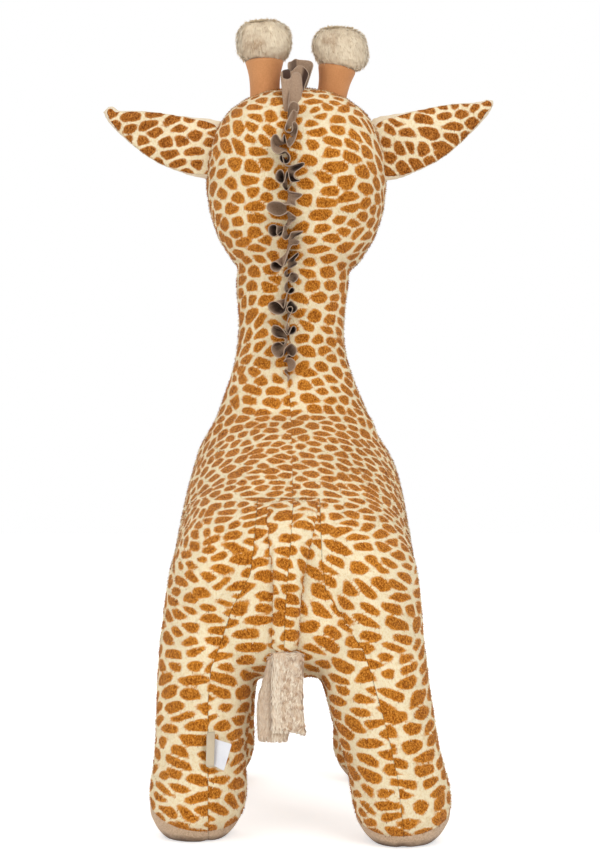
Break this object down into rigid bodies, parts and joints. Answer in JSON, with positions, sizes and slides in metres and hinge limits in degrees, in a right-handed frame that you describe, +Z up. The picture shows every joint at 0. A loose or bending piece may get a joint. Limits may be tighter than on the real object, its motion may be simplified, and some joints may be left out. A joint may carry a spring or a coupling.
{
  "type": "plush giraffe",
  "caption": "Tall standing plush giraffe with a spotted body, ruffled felt mane, soft horns with fur caps, bendable ears, a hanging tail with a fur tuft and velour hooves.",
  "frame": {"origin": "on the floor, under the middle of the whole toy's bounding box", "axes": "+Z up, the giraffe faces -Y, its left side is towards +X"},
  "size_m": [0.5098, 0.5884, 0.9984],
  "materials": {
    "spotted_plush": "short pile, brown patches on a cream ground",
    "cream_velour": "smooth short velour",
    "hoof_velour": "smooth short velour, taupe",
    "tan_velour": "smooth short velour, tan",
    "long_fur": "long fluffy fur",
    "felt": "matt felt, taupe",
    "label_tape": "satin tape, bare",
    "care_label_cloth": "smooth white cloth, bare",
    "eye_plastic": "glossy black",
    "washer_plastic": "plain moulded",
    "frame_steel": "plain grey tube"
  },
  "bodies": {
    "giraffe": {"body": "spotted_plush", "neck": "spotted_plush", "head": "spotted_plush", "leg_hind_left": "spotted_plush", "leg_hind_right": "spotted_plush", "leg_front_left": "spotted_plush", "leg_front_right": "spotted_plush", "muzzle": "cream_velour", "hoof_hind_left": "hoof_velour", "hoof_hind_right": "hoof_velour", "hoof_front_left": "hoof_velour", "hoof_front_right": "hoof_velour", "horn_left": "tan_velour", "horn_cap_left": "long_fur", "eye_left": "eye_plastic", "eye_washer_left": "washer_plastic", "horn_right": "tan_velour", "horn_cap_right": "long_fur", "eye_right": "eye_plastic", "eye_washer_right": "washer_plastic", "mane": "felt", "frame_spine": "frame_steel", "frame_neck": "frame_steel", "frame_crossbar_front": "frame_steel", "frame_crossbar_hind": "frame_steel", "frame_leg_hind_left": "frame_steel", "frame_leg_hind_right": "frame_steel", "frame_leg_front_left": "frame_steel", "frame_leg_front_right": "frame_steel"},
    "left_ear": {"ear_left": "spotted_plush", "ear_left_lining": "cream_velour"},
    "right_ear": {"ear_right": "spotted_plush", "ear_right_lining": "cream_velour"},
    "tail_flap": {"tail": "spotted_plush"},
    "tuft": {"tail_tuft": "long_fur"},
    "labels": {"loop_label": "label_tape", "care_label": "care_label_cloth"}
  },
  "joints": [
    {"name": "left_ear_bend", "type": "hinge", "parent": "giraffe", "child": "left_ear", "pos_m": [0.10926, -0.0695, 0.825], "axis": [0, 0, -1], "range_deg": [-20, 35], "stiffness_Nm_per_rad": 0.15},
    {"name": "right_ear_bend", "type": "hinge", "parent": "giraffe", "child": "right_ear", "pos_m": [-0.11474, -0.0695, 0.825], "axis": [0, 0, 1], "range_deg": [-20, 35], "stiffness_Nm_per_rad": 0.15},
    {"name": "tail_lift", "type": "hinge", "parent": "giraffe", "child": "tail_flap", "pos_m": [0, 0.20852, 0.38223], "axis": [1, 0, 0], "range_deg": [0, 100]},
    {"name": "tuft_swing", "type": "hinge", "parent": "tail_flap", "child": "tuft", "pos_m": [0.01, 0.26288, 0.2084], "axis": [1, 0, 0], "range_deg": [0, 60]},
    {"name": "label_bend", "type": "hinge", "parent": "giraffe", "child": "labels", "pos_m": [0.0956, 0.26057, 0.1049], "axis": [0, 0, -1], "range_deg": [0, 60], "stiffness_Nm_per_rad": 0.002}
  ]
}
